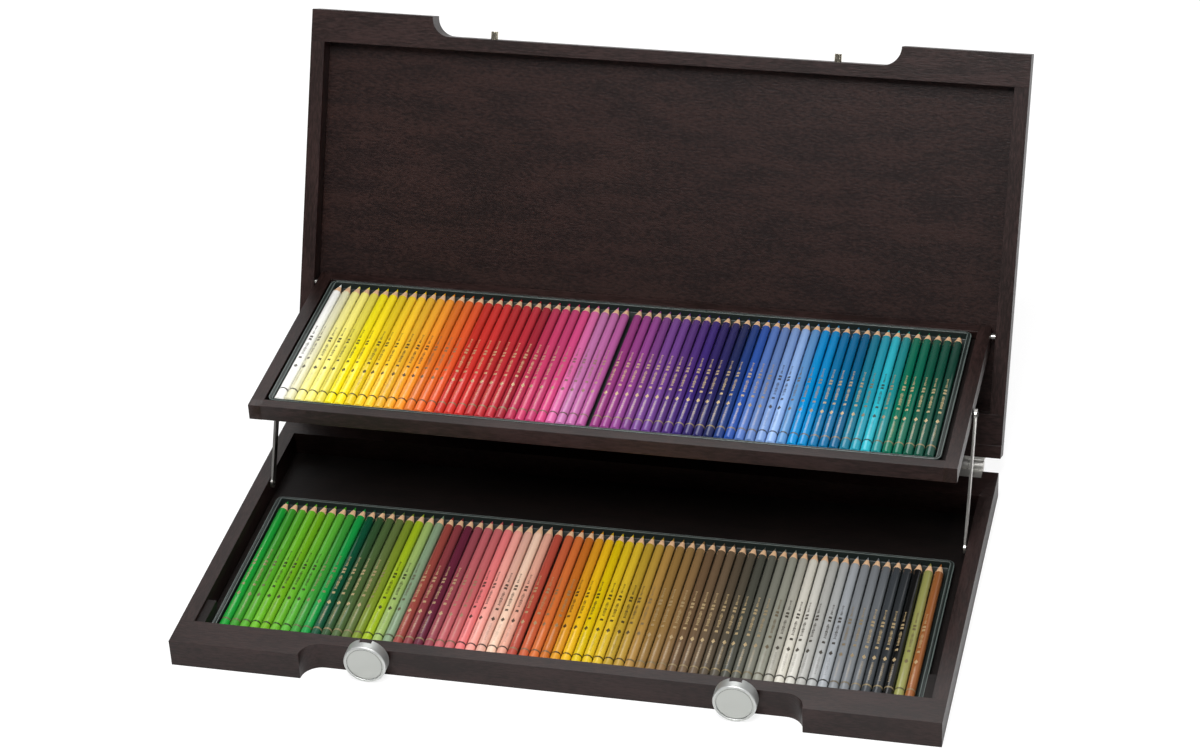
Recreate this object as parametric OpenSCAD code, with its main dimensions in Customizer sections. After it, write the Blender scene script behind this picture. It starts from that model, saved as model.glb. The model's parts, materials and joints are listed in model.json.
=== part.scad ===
// Wooden pencil case with a hinged lid and a tray that swings up on two links.
// Origin: centre of the case's underside. X runs left to right, Y front to back, Z up.
// The case is drawn open. The lid is built shut and then swung back about its hinge.

/* [Case] */
// Width of the case, left to right
case_w = 587; // [580:1:600]
// Depth of the case, front to back
case_d = 320; // [318:1:330]
// Height of the base
base_h = 22.5; // [22.5:0.5:24]
// Height of the lid
lid_h = 20; // [20:0.5:24]
// Thickness of the left and right walls
side_wall = 11.5; // [10:0.5:12]
// Width of the base's front rail
base_front_w = 27.5; // [27:0.5:29]
// Width of the base's rear rail
base_rear_w = 34; // [32:0.5:36]
// Width of the lid's front rail
lid_front_w = 26; // [25.5:0.5:27]
// Width of the lid's rear rail, with its hinge strip
lid_rear_w = 35; // [32:0.5:36]
// Width of the separate strip along the lid's hinge edge
hinge_strip_w = 10.5; // [10:0.5:12]
// Thickness of the bottom panel
bottom_t = 3.2; // [2.6:0.1:3.2]
// Thickness of the lid's panel
panel_t = 4; // [3:0.5:4]
// Clearance between the lid and the base when the case is shut
seam_gap = 0.3; // [0.2:0.1:0.4]

/* [Finger recess] */
// Length of the recess along the front
recess_w = 382.8; // [360:1:400]
// Depth of the recess into the rail
recess_depth = 15.7; // [15.2:0.1:15.9]
// Radius of the recess's inner corners, in plan
recess_r = 15; // [10:0.5:15]

/* [Opening] */
// Angle that the lid opens to
lid_open = 116; // [110:0.5:116]
// Distance of the hinge axis behind the case
hinge_back = 7; // [7:0.1:8]
// Length of each link between its two pivots, and of the lid's matching arm
link_l = 103.6; // [103:0.1:104]
// Height of the tray's pivot above the hinge axis, with the case shut
pivot_rise = 4.5; // [4:0.1:5]
// Distance from the hinge axis forward to the links' foot pivots
foot_forward = 106; // [105:0.5:107]
// Depth of the links' foot pivots below the hinge axis
foot_drop = 4.35; // [4:0.05:4.6]

/* [Tray] */
// Width of the tray
tray_w = 556; // [552:1:556]
// Depth of the tray, front to back
tray_d = 202; // [200:1:202]
// Height of the tray
tray_h = 13; // [12:0.5:13]
// Thickness of the tray's left and right sides
tray_side = 10.4; // [9:0.2:11]
// Thickness of the tray's front rail
tray_front = 9.6; // [9:0.2:11]
// Thickness of the tray's rear rail
tray_rear = 10; // [9:0.2:11]
// Thickness of the tray's floor
tray_floor_t = 3; // [2:0.5:3]
// Distance of the tray's pivots from its rear edge
pivot_from_rear = 7; // [6:0.5:8]
// Distance of the tray's pivots below its top
pivot_below_top = 5.45; // [5:0.05:6]

/* [Tins and pencils] */
// Height of both tins
tin_h = 6.7; // [6:0.1:7]
// Width of the lower tin
lower_tin_w = 549; // [547:1:550]
// Width of the upper tin
upper_tin_w = 529.9; // [528:0.1:531]
// Depth of both tins
tin_d = 181; // [181:0.1:181.5]
// Pencils in the lower tin
lower_count = 66; // [60:1:66]
// Pencils in the upper tin
upper_count = 64; // [60:1:64]
// Distance between neighbouring pencils in the lower tin
lower_pitch = 8.12; // [8:0.01:8.14]
// Distance between neighbouring pencils in the upper tin
upper_pitch = 8.08; // [8:0.01:8.09]
// Diameter of a pencil
pencil_dia = 7.6; // [7.2:0.1:7.8]
// Length of a pencil
pencil_l = 175; // [170:1:176]
// Length of a pencil's sharpened point
point_l = 14.5; // [10:0.5:16]
// Length of bare colour core at the point
core_tip_l = 5.5; // [3:0.5:6]

/* [Fittings] */
// Diameter of the locking knobs
knob_dia = 33; // [33:0.1:33.4]
// Length of a knob along its axis
knob_l = 10.2; // [10:0.1:11]
// Distance of each knob from the middle of the case
knob_x = 140.6; // [120:1:150]
// Height of the knobs' axes above the underside
knob_z = 17.2; // [17:0.1:18]
// Diameter of the lid's catch pins
catch_dia = 5.8; // [5:0.1:5.8]
// Height of the catch pins above the lid's rim face
catch_rise = 6.6; // [6.4:0.1:6.8]
// Length of each hinge
hinge_l = 60; // [50:1:70]
// Diameter of the hinge barrel
barrel_dia = 9.6; // [9:0.1:10]

/* [Hidden] */
$fn = 64;

wood = "#3a3030";
dark_wood = "#2b2424";
metal = "#c4c6c8";
tin_black = "#2c3230";
cedar = "#d8b896";

half_w = case_w / 2;
half_d = case_d / 2;
inner_x = half_w - side_wall;
base_in_front = base_front_w - half_d;
base_in_rear = half_d - base_rear_w;
lid_in_front = lid_front_w - half_d;
lid_in_rear = half_d - lid_rear_w;
recess_y = recess_depth - half_d;
cut = 1;                       // how far a cutting shape runs past the surface it opens
housing = 4;                   // how deep a panel's edge sits in the rails

// Hinge axis, and the lid's rim face when the case is shut
hinge_y = half_d + hinge_back;
hinge_z = base_h + seam_gap / 2;
rim_z = base_h + seam_gap;
lid_top = rim_z + lid_h;
panel_z = lid_top - panel_t;

// The four pivots of the parallelogram: hinge, tray pivot, link foot and link top
arm_y = -sqrt(link_l * link_l - pivot_rise * pivot_rise);
swung_y = arm_y * cos(lid_open) + pivot_rise * sin(lid_open);
swung_z = pivot_rise * cos(lid_open) - arm_y * sin(lid_open);
pivot_y = hinge_y + swung_y;
pivot_z = hinge_z + swung_z;
foot_y = hinge_y - foot_forward;
foot_z = hinge_z - foot_drop;
top_y = foot_y + swung_y;
top_z = foot_z + swung_z;

// Things stacked across the gap between the tray and the case wall
tray_x = tray_w / 2;
head_t = 0.65;                 // thin pin head
link_t = 1.7;
link_x = tray_x + 1.2;         // inner face of a link
pin_r = 1.5;
pin_grip = 5;                  // how deep a pin sits in the wood
run_clear = 0.05;              // radial clearance of a turning fit
head_r = 2.2;
link_w = 8;                    // width of a link's bar
eye_r = 4.6;

// Tray
tray_y = pivot_y + pivot_from_rear - tray_d;
tray_z = pivot_z + pivot_below_top - tray_h;
tray_top = tray_z + tray_h;
tray_in_x = tray_x - tray_side;
tray_in_front = tray_y + tray_front;
tray_in_rear = tray_y + tray_d - tray_rear;
upper_tin_z = tray_top - 0.5 - tin_h;
tray_floor_z = upper_tin_z - tray_floor_t;
tray_housing = 3;
rest_lap = 3;                  // how far the rest blocks reach under the shut tray
rest_d = 32;

// Tins
tin_t = 0.6;                   // sheet thickness
tin_end_rim = 2;               // how far the rolled rim stands out at front and rear
tin_side_rim = 3.6;            // and at the left and right
tin_rim_h = 2;
tin_r = 6;                     // corner radius of the rim
tin_wall_r = 1.8;              // and of the walls
lower_tin_x = -0.5;
lower_tin_y = base_in_front + 6;
upper_tin_x = -1.15;
upper_tin_y = tray_in_front + 1.3;

// Pencils lie on the tin's floor, blunt ends to the front
pencil_r = pencil_dia / 2;
pencil_lift = tin_t + 0.15 + pencil_r;
pencil_from_front = 2.8;
lower_first_x = -265.4;
lower_gap_after = 29;
lower_gap = 0.9;
upper_gap_after = 31;
upper_gap = 2.7;
upper_first_x = -257.4;
core_r = pencil_r * core_tip_l / point_l;
core_fit_r = core_r - 0.02;
core_tip_r = 0.2;

// Knobs, and what holds them in the front rail
knob_r = knob_dia / 2;
knob_back = recess_y - 3;      // rear face of the knob's rim
knob_face = knob_back - knob_l;
boss_r = 7;
groove_in = 8.5;
groove_out = knob_r - 1.1;
rim_w = 2.5;                   // width of the rim round the face
face_deep = 0.8;               // how far the face lies below the rim
line_w = 0.6;                  // fine groove round the face
line_deep = 0.3;
round_w = 1.7;                 // rounding of the rim's outer edge
round_steps = 6;
groove_deep = 3.9;
notch_w = 9.6;
notch_deep = 3.7;
spindle_r = 2.5;
nut_r = 3.8;
nut_deep = 3.2;
catch_l = 6.5;
catch_shank_r = 1.5;
catch_shank_l = 7;
catch_z = rim_z + catch_rise;

// Hinges
leaf_t = 2;
leaf_front = 151;              // front edge of the base's leaf
leaf_rear = hinge_y - barrel_dia / 2 - 0.4;
barrel_r = barrel_dia / 2;
hinge_pin_r = 1.5;
knuckles = 5;
knuckle_gap = 0.3;
knuckle_l = hinge_l / knuckles;
hinge_end = inner_x - 1.4;     // outer end of the right hinge
hinge_x = hinge_end - hinge_l;
lid_leaf_h = 13;               // height of the lid's leaf on its rear face
base_screw_y = 155.5;
lid_screw_up = 8;
screw_r = 1.25;
screw_head_r = 2.4;
screw_head_h = 1.2;
screw_l = 12;
screw_places = [8, 30, 52];    // along one hinge

// ---- shapes that repeat ----

// Holds the shut lid's pieces and swings them back to the open pose
module open_lid() {
    translate([0, hinge_y, hinge_z])
        rotate([-lid_open, 0, 0])
            translate([0, -hinge_y, -hinge_z])
                children();
}

// Draws its child on the right, and again on the left
module both_sides() {
    children();
    mirror([1, 0, 0]) children();
}

module block(x0, x1, y0, y1, z0, z1) {
    translate([x0, y0, z0]) cube([x1 - x0, y1 - y0, z1 - z0]);
}

// A round bar along X, from x0 to x1
module bar_x(x0, x1, y, z, r) {
    translate([x0, y, z]) rotate([0, 90, 0]) cylinder(h = x1 - x0, r = r);
}

// A round bar along Y, from y0 to y1
module bar_y(x, z, y0, y1, r) {
    translate([x, y0, z]) rotate([-90, 0, 0]) cylinder(h = y1 - y0, r = r);
}

// Plan of the finger recess: a long slot with rounded inner corners
module recess_plan() {
    straight = recess_w / 2 - recess_r;
    translate([-straight, -half_d - cut])
        square([2 * straight, recess_depth + cut]);
    translate([-recess_w / 2, -half_d - cut])
        square([recess_w, recess_depth - recess_r + cut]);
    for (side = [-1, 1])
        translate([side * straight, recess_y - recess_r]) circle(r = recess_r);
}

module recess_cut(z0, z1) {
    translate([0, 0, z0 - cut]) linear_extrude(z1 - z0 + 2 * cut) recess_plan();
}

module bottom_panel_shape(past = 0) {
    block(-inner_x - housing, inner_x + housing,
        base_in_front - housing, base_in_rear + housing, -past, bottom_t);
}

module lid_panel_shape(past = 0) {
    block(-inner_x - housing, inner_x + housing,
        lid_in_front - housing, lid_in_rear + housing, panel_z, lid_top + past);
}

module tray_floor_shape() {
    block(-tray_in_x - tray_housing, tray_in_x + tray_housing,
        tray_in_front - tray_housing, tray_in_rear + tray_housing,
        tray_floor_z, tray_floor_z + tray_floor_t);
}

// A rectangle with round corners, as plain circles and squares
module round_plan(w, d, r) {
    translate([-w / 2 + r, 0]) square([w - 2 * r, d]);
    translate([-w / 2, r]) square([w, d - 2 * r]);
    for (x = [r - w / 2, w / 2 - r], y = [r, d - r])
        translate([x, y]) circle(r = r);
}

// A shallow pressed tin: flat floor, thin walls and a broad rolled rim
module tin(w) {
    wall_w = w - 2 * tin_side_rim;
    wall_d = tin_d - 2 * tin_end_rim;
    difference() {
        union() {
            translate([0, tin_end_rim, 0])
                linear_extrude(tin_h) round_plan(wall_w, wall_d, tin_wall_r);
            translate([0, 0, tin_h - tin_rim_h])
                linear_extrude(tin_rim_h) round_plan(w, tin_d, tin_r);
        }
        translate([0, tin_end_rim + tin_t, tin_t])
            linear_extrude(tin_h)
                round_plan(wall_w - 2 * tin_t, wall_d - 2 * tin_t, tin_wall_r - tin_t);
    }
}

// Barrel and bare wooden cone of one pencil, blunt end at the origin, along +Y.
// The core's hole runs right through.
module pencil_barrel() {
    shoulder = pencil_l - point_l;
    rotate([-90, 0, 0])
        difference() {
            union() {
                cylinder(h = shoulder, r = pencil_r, $fn = 24);
                translate([0, 0, shoulder])
                    cylinder(h = point_l - core_tip_l, r1 = pencil_r, r2 = core_r, $fn = 24);
            }
            translate([0, 0, -cut]) cylinder(h = pencil_l, r = core_fit_r, $fn = 24);
        }
}

// Colour core of one pencil: a rod that ends in the sharpened tip
module pencil_core() {
    rotate([-90, 0, 0]) {
        cylinder(h = pencil_l - core_tip_l, r = core_fit_r, $fn = 24);
        translate([0, 0, pencil_l - core_tip_l])
            cylinder(h = core_tip_l, r1 = core_fit_r, r2 = core_tip_r, $fn = 24);
    }
}

// Places its child once for each pencil in a row, with one wider gap
module pencil_row(count, pitch, first_x, gap_after, gap, y, z) {
    for (i = [0:count - 1])
        translate([first_x + i * pitch + (i >= gap_after ? gap : 0), y, z])
            children();
}

module lower_row() {
    pencil_row(lower_count, lower_pitch, lower_first_x, lower_gap_after, lower_gap,
        lower_tin_y + pencil_from_front, bottom_t + pencil_lift)
        children();
}

module upper_row() {
    pencil_row(upper_count, upper_pitch, upper_first_x, upper_gap_after, upper_gap,
        upper_tin_y + pencil_from_front, upper_tin_z + pencil_lift)
        children();
}

// Knuckles of one hinge leaf, as barrel stretches that a short tongue joins to the leaf.
// The base's leaf has the odd stretches, the lid's leaf the even ones.
module hinge_knuckles(first, tongue_y, tongue_z) {
    for (i = [first:2:knuckles - 1]) {
        x0 = hinge_x + i * knuckle_l + (i == 0 ? 0 : knuckle_gap / 2);
        x1 = hinge_x + (i + 1) * knuckle_l - (i == knuckles - 1 ? 0 : knuckle_gap / 2);
        bar_x(x0, x1, hinge_y, hinge_z, barrel_r);
        block(x0, x1, tongue_y, hinge_y, tongue_z, tongue_z + leaf_t);
    }
}

// Cuts the pin's bore through its children
module with_hinge_bore() {
    difference() {
        union() children();
        bar_x(hinge_x - cut, hinge_end + cut, hinge_y, hinge_z, hinge_pin_r + run_clear);
    }
}

// Leaf let flush into the top of the base
module base_leaf() {
    with_hinge_bore() {
        block(hinge_x, hinge_end, leaf_front, leaf_rear, base_h - leaf_t, base_h);
        hinge_knuckles(0, leaf_rear - cut, base_h - leaf_t);
    }
}

// Leaf screwed on the rear face of the lid's hinge strip
module lid_leaf() {
    with_hinge_bore() {
        block(hinge_x, hinge_end, half_d, half_d + leaf_t, rim_z, rim_z + lid_leaf_h);
        hinge_knuckles(1, half_d, rim_z);
    }
}

// One countersunk screw, its head's top at the origin, pointing down
module hinge_screw() {
    translate([0, 0, -screw_head_h])
        cylinder(h = screw_head_h, r1 = screw_r, r2 = screw_head_r);
    translate([0, 0, -screw_l]) cylinder(h = screw_l - screw_head_h, r = screw_r);
}

// Places its child at each screw of the right hinge
module hinge_screw_places(y, z) {
    for (along = screw_places)
        translate([hinge_x + along, y, z]) children();
}

module base_hinge_screws_shape() {
    both_sides() hinge_screw_places(base_screw_y, base_h) hinge_screw();
}

module lid_hinge_screws_shape() {
    both_sides() hinge_screw_places(half_d + leaf_t, rim_z + lid_screw_up)
        rotate([-90, 0, 0]) hinge_screw();
}

// ---- base ----

module base_front_rail() {
    color(wood) difference() {
        block(-half_w, half_w, -half_d, base_in_front, 0, base_h);
        recess_cut(0, base_h);
        bottom_panel_shape(cut);
        for (side = [-1, 1]) {
            bar_y(side * knob_x, knob_z, recess_y - cut, base_in_front + cut,
                spindle_r + run_clear);
            bar_y(side * knob_x, knob_z, base_in_front - nut_deep, base_in_front + cut, nut_r);
        }
    }
}

module base_rear_rail() {
    color(wood) difference() {
        block(-half_w, half_w, base_in_rear, half_d, 0, base_h);
        bottom_panel_shape(cut);
        both_sides() block(hinge_x, hinge_end, leaf_front, half_d + cut, base_h - leaf_t, base_h + cut);
        base_hinge_screws_shape();
    }
}

module base_side() {
    color(wood) difference() {
        block(inner_x, half_w, base_in_front, base_in_rear, 0, base_h);
        bottom_panel_shape(cut);
        bar_x(inner_x - cut, inner_x + pin_grip, foot_y, foot_z, pin_r);
    }
}

module base_left_side() { mirror([1, 0, 0]) base_side(); }
module base_right_side() { base_side(); }

module base_bottom_panel() {
    color(dark_wood) bottom_panel_shape();
}

// Two blocks in the front corners, which carry the tray when the case is shut
module tray_rest_blocks() {
    shut_tray_z = tray_z - swung_z + pivot_rise;
    color(dark_wood) both_sides()
        block(tray_x - rest_lap, inner_x, base_in_front, base_in_front + rest_d,
            bottom_t, shut_tray_z - 0.3);
}

module lower_tin() {
    color(tin_black) translate([lower_tin_x, lower_tin_y, bottom_t]) tin(lower_tin_w);
}

module lower_pencils() { color(cedar) lower_row() pencil_barrel(); }
module lower_cores() { color("#1f7a4c") lower_row() pencil_core(); }

// Shouldered pins in the base's walls, which the links' feet turn on
module link_foot_pins() {
    color(metal) both_sides() {
        bar_x(tray_x + 0.3, inner_x + pin_grip, foot_y, foot_z, pin_r);
        bar_x(tray_x + 0.3, tray_x + 0.3 + head_t, foot_y, foot_z, head_r);
        bar_x(link_x + link_t + 0.25, inner_x, foot_y, foot_z, head_r);
    }
}

module hinge_base_leaves() {
    color(metal) difference() {
        both_sides() base_leaf();
        base_hinge_screws_shape();
    }
}

module hinge_pins() {
    color(metal) both_sides() bar_x(hinge_x, hinge_end, hinge_y, hinge_z, hinge_pin_r);
}

module hinge_base_screws() { color(metal) base_hinge_screws_shape(); }

// ---- lid ----

module lid_front_rail() {
    color(wood) open_lid() difference() {
        block(-half_w, half_w, -half_d, lid_in_front, rim_z, lid_top);
        recess_cut(rim_z, lid_top);
        lid_panel_shape(cut);
        for (side = [-1, 1])
            bar_y(side * knob_x, catch_z, recess_y - cut, recess_y + catch_shank_l, catch_shank_r);
    }
}

module lid_rear_rail() {
    color(wood) open_lid() difference() {
        block(-half_w, half_w, lid_in_rear, half_d - hinge_strip_w, rim_z, lid_top);
        lid_panel_shape(cut);
    }
}

// Separate strip along the hinge edge, which carries the lid's hinge leaves
module lid_hinge_strip() {
    color(wood) open_lid() difference() {
        block(-half_w, half_w, half_d - hinge_strip_w, half_d, rim_z, lid_top);
        lid_hinge_screws_shape();
    }
}

module lid_side() {
    color(wood) open_lid() difference() {
        block(inner_x, half_w, lid_in_front, lid_in_rear, rim_z, lid_top);
        lid_panel_shape(cut);
        bar_x(inner_x - cut, inner_x + pin_grip + 1, hinge_y + arm_y, hinge_z + pivot_rise,
            pin_r + run_clear);
    }
}

module lid_left_side() { mirror([1, 0, 0]) lid_side(); }
module lid_right_side() { lid_side(); }

module lid_panel() {
    color(dark_wood) open_lid() lid_panel_shape();
}

module lid_catch_pins() {
    color(metal) open_lid()
        for (side = [-1, 1]) {
            bar_y(side * knob_x, catch_z, recess_y - catch_l, recess_y, catch_dia / 2);
            bar_y(side * knob_x, catch_z, recess_y, recess_y + catch_shank_l, catch_shank_r);
        }
}

module hinge_lid_leaves() {
    color(metal) open_lid() difference() {
        both_sides() lid_leaf();
        lid_hinge_screws_shape();
    }
}

module hinge_lid_screws() { color(metal) open_lid() lid_hinge_screws_shape(); }

// ---- tray ----

module tray_front_rail() {
    color(wood) difference() {
        block(-tray_in_x, tray_in_x, tray_y, tray_in_front, tray_z, tray_top);
        tray_floor_shape();
    }
}

module tray_rear_rail() {
    color(wood) difference() {
        block(-tray_in_x, tray_in_x, tray_in_rear, tray_y + tray_d, tray_z, tray_top);
        tray_floor_shape();
    }
}

module tray_side_rail() {
    color(wood) difference() {
        block(tray_in_x, tray_x, tray_y, tray_y + tray_d, tray_z, tray_top);
        tray_floor_shape();
        bar_x(tray_x - pin_grip, tray_x + cut, pivot_y, pivot_z, pin_r);
        bar_x(tray_x - pin_grip, tray_x + cut, top_y, top_z, pin_r);
    }
}

module tray_left_side() { mirror([1, 0, 0]) tray_side_rail(); }
module tray_right_side() { tray_side_rail(); }

module tray_floor() { color(dark_wood) tray_floor_shape(); }

// Pins fixed in the tray, which turn in the lid's walls
module tray_pivot_pins() {
    color(metal) both_sides()
        bar_x(tray_x - pin_grip, inner_x + pin_grip, pivot_y, pivot_z, pin_r);
}

// Collars that keep the tray centred between the lid's walls
module tray_pivot_collars() {
    color(metal) both_sides() difference() {
        bar_x(tray_x, inner_x - 0.3, pivot_y, pivot_z, head_r);
        bar_x(tray_x - cut, inner_x + cut, pivot_y, pivot_z, pin_r);
    }
}

// Shouldered pins in the tray's sides, which hang in the links' top eyes
module link_top_pins() {
    color(metal) both_sides() {
        bar_x(tray_x - pin_grip, inner_x - 0.25, top_y, top_z, pin_r);
        bar_x(tray_x, link_x - 0.25, top_y, top_z, head_r);
        bar_x(inner_x - 0.25 - head_t, inner_x - 0.25, top_y, top_z, head_r);
    }
}

module upper_tin() {
    color(tin_black) translate([upper_tin_x, upper_tin_y, upper_tin_z]) tin(upper_tin_w);
}

module upper_pencils() { color(cedar) upper_row() pencil_barrel(); }
module upper_cores() { color("#3a4ab0") upper_row() pencil_core(); }

// ---- links ----

// A flat bar with a round eye at each end
module link() {
    lean = atan2(swung_z, swung_y);
    color(metal) difference() {
        union() {
            bar_x(link_x, link_x + link_t, foot_y, foot_z, eye_r);
            bar_x(link_x, link_x + link_t, top_y, top_z, eye_r);
            translate([link_x, foot_y, foot_z]) rotate([lean, 0, 0])
                translate([0, 1, -link_w / 2]) cube([link_t, link_l - 2, link_w]);
        }
        bar_x(link_x - cut, link_x + link_t + cut, foot_y, foot_z, pin_r + run_clear);
        bar_x(link_x - cut, link_x + link_t + cut, top_y, top_z, pin_r + run_clear);
    }
}

module link_left() { mirror([1, 0, 0]) link(); }
module link_right() { link(); }

// ---- locking knobs ----

// Turned outline of a knob, from the rim's front at 0 to the rear: a flat face sunk in a
// raised rim, with a fine groove between the two
module knob_outline() {
    face_r = knob_r - rim_w;
    polygon([[0, face_deep], [face_r - line_w, face_deep],
        [face_r - line_w * 0.7, face_deep + line_deep], [face_r, face_deep + line_deep],
        [face_r + line_w * 0.2, face_deep * 0.4], [face_r + line_w * 0.8, 0],
        for (i = [0 : round_steps]) let (turn = 90 * i / round_steps)
            [knob_r - round_w * (1 - sin(turn)), round_w * (1 - cos(turn))],
        [knob_r, knob_l], [0, knob_l]]);
}

// A round knob whose ring groove takes the lid's catch pin through a notch at the top
module knob(x) {
    color(metal) translate([x, 0, knob_z]) difference() {
        union() {
            translate([0, knob_face, 0]) rotate([-90, 0, 0]) rotate_extrude() knob_outline();
            bar_y(0, 0, knob_back, recess_y - 0.3, boss_r);
        }
        difference() {
            bar_y(0, 0, knob_back - groove_deep, knob_back + 0.01, groove_out);
            bar_y(0, 0, knob_back - groove_deep - cut, knob_back + cut, groove_in);
        }
        block(-notch_w / 2, notch_w / 2, knob_back - notch_deep, knob_back + cut,
            groove_in, knob_r + cut);
        bar_y(0, 0, knob_back - 5, recess_y, spindle_r);
    }
}

// Spindle through the front rail, fixed in the knob
module knob_spindle(x) {
    color(metal) bar_y(x, knob_z, knob_back - 5, base_in_front - nut_deep + 0.9, spindle_r);
}

module knob_washer(x) {
    color(metal) difference() {
        bar_y(x, knob_z, base_in_front - nut_deep + 0.1, base_in_front - nut_deep + 0.7,
            nut_r - 0.3);
        bar_y(x, knob_z, base_in_front - nut_deep - cut, base_in_front + cut, spindle_r);
    }
}

// Slotted round nut, sunk below the rail's inner face
module knob_nut(x) {
    nut_y = base_in_front - nut_deep + 0.7;
    color(metal) difference() {
        bar_y(x, knob_z, nut_y, base_in_front - 0.3, nut_r - 0.3);
        bar_y(x, knob_z, nut_y - cut, nut_y + 0.2, spindle_r);
        block(x - nut_r, x + nut_r, base_in_front - 1.1, base_in_front, knob_z - 0.5, knob_z + 0.5);
    }
}

module knob_left() { knob(-knob_x); }
module knob_left_spindle() { knob_spindle(-knob_x); }
module knob_left_washer() { knob_washer(-knob_x); }
module knob_left_nut() { knob_nut(-knob_x); }
module knob_right() { knob(knob_x); }
module knob_right_spindle() { knob_spindle(knob_x); }
module knob_right_washer() { knob_washer(knob_x); }
module knob_right_nut() { knob_nut(knob_x); }

base_front_rail();
base_rear_rail();
base_left_side();
base_right_side();
base_bottom_panel();
tray_rest_blocks();
lower_tin();
lower_pencils();
lower_cores();
link_foot_pins();
hinge_base_leaves();
hinge_pins();
hinge_base_screws();
lid_front_rail();
lid_rear_rail();
lid_hinge_strip();
lid_left_side();
lid_right_side();
lid_panel();
lid_catch_pins();
hinge_lid_leaves();
hinge_lid_screws();
tray_front_rail();
tray_rear_rail();
tray_left_side();
tray_right_side();
tray_floor();
tray_pivot_pins();
tray_pivot_collars();
link_top_pins();
upper_tin();
upper_pencils();
upper_cores();
link_left();
link_right();
knob_left();
knob_left_spindle();
knob_left_washer();
knob_left_nut();
knob_right();
knob_right_spindle();
knob_right_washer();
knob_right_nut();
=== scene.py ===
import json
import math

import bmesh
import bpy
from mathutils import Matrix, Vector
from mathutils.bvhtree import BVHTree

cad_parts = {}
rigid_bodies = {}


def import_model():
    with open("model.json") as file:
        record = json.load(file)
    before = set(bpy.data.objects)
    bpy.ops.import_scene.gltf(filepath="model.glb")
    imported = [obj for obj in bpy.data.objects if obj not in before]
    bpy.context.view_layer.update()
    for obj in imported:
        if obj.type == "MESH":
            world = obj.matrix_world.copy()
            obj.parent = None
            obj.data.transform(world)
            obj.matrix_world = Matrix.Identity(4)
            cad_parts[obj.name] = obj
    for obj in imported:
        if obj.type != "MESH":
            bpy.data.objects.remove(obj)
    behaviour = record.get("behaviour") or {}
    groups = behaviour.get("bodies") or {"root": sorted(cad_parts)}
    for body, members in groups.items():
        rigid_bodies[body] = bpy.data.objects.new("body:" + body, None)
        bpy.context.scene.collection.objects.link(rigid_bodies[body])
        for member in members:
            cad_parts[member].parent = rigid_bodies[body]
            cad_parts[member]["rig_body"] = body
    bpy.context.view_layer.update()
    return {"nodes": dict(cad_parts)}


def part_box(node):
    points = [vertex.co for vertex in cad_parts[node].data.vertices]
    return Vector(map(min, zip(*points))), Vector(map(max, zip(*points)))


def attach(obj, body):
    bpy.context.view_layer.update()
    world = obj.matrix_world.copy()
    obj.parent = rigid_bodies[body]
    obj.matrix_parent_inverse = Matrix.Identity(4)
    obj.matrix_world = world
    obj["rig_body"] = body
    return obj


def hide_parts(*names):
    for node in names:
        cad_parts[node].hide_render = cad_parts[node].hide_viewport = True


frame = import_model()

# ---- Camera ----------------------------------------------------------------------------
# The photograph looks down on the open case from the front, a little from its right, and
# the camera is tipped slightly to one side. The focal length is in pixels of the
# 1200 x 755 photograph, and the shift moves the object to its place in that frame.
MM = 0.001
PHOTO_W = 1200
SENSOR_MM = 36.0
FOCAL_PX = 3360.1
AZIMUTH = math.radians(14.77)
ELEVATION = math.radians(34.57)
ROLL = math.radians(-3.22)
DISTANCE = 2.5588
LOOK_AT = Vector((0.0, 0.0, 0.1))
SHIFT_PX = (10.6, 95.07)

away = Vector((math.sin(AZIMUTH) * math.cos(ELEVATION),
               -math.cos(AZIMUTH) * math.cos(ELEVATION),
               math.sin(ELEVATION)))
level = Vector((math.cos(AZIMUTH), math.sin(AZIMUTH), 0.0))
upright = away.cross(level)
side = level * math.cos(ROLL) + upright * math.sin(ROLL)
top = upright * math.cos(ROLL) - level * math.sin(ROLL)
camera_data = bpy.data.cameras.new("camera")
camera_data.sensor_width = SENSOR_MM
camera_data.lens = FOCAL_PX / PHOTO_W * SENSOR_MM
camera_data.shift_x = SHIFT_PX[0] / PHOTO_W
camera_data.shift_y = SHIFT_PX[1] / PHOTO_W
camera = bpy.data.objects.new("camera", camera_data)
placing = Matrix((side, top, away)).transposed().to_4x4()
placing.translation = LOOK_AT + away * DISTANCE
camera.matrix_world = placing
bpy.context.scene.collection.objects.link(camera)
bpy.context.scene.camera = camera
bpy.context.scene.view_settings.view_transform = "Standard"

# ---- Studio ----------------------------------------------------------------------------
# A white table in a white room. The main soft light hangs in front of the case, with weak
# ones at both sides and behind, and the room gives little light from the front, so that the
# dark wood stays dark.
def linear(hexa):
    """A '#rrggbb' sRGB colour as the linear RGBA that a shader wants."""
    channels = [int(hexa[i:i + 2], 16) / 255 for i in (1, 3, 5)]
    return tuple(c / 12.92 if c <= 0.04045 else ((c + 0.055) / 1.055) ** 2.4
                 for c in channels) + (1.0,)


def add(tree, kind, settings=None, values=None, links=None):
    """Adds one node: its settings, the values of its sockets, and the links into them."""
    made = tree.nodes.new(kind)
    for name, value in (settings or {}).items():
        setattr(made, name, value)
    for socket, value in (values or {}).items():
        made.inputs[socket].default_value = value
    for socket, source in (links or {}).items():
        tree.links.new(source, made.inputs[socket])
    return made


def new_material(name):
    """An empty node material, with its tree and its output node."""
    material = bpy.data.materials.new(name)
    material.use_nodes = True
    tree = material.node_tree
    tree.nodes.clear()
    return material, tree, add(tree, "ShaderNodeOutputMaterial")


# the room's light, from its dimmest to its brightest, and how fast it grows from the front
# to the back and from the floor up
ROOM_DIM = 0.11
ROOM_BRIGHT = 0.64
ROOM_BACKWARD = 0.9
ROOM_UPWARD = 0.35
ROOM_START = -0.1

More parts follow.
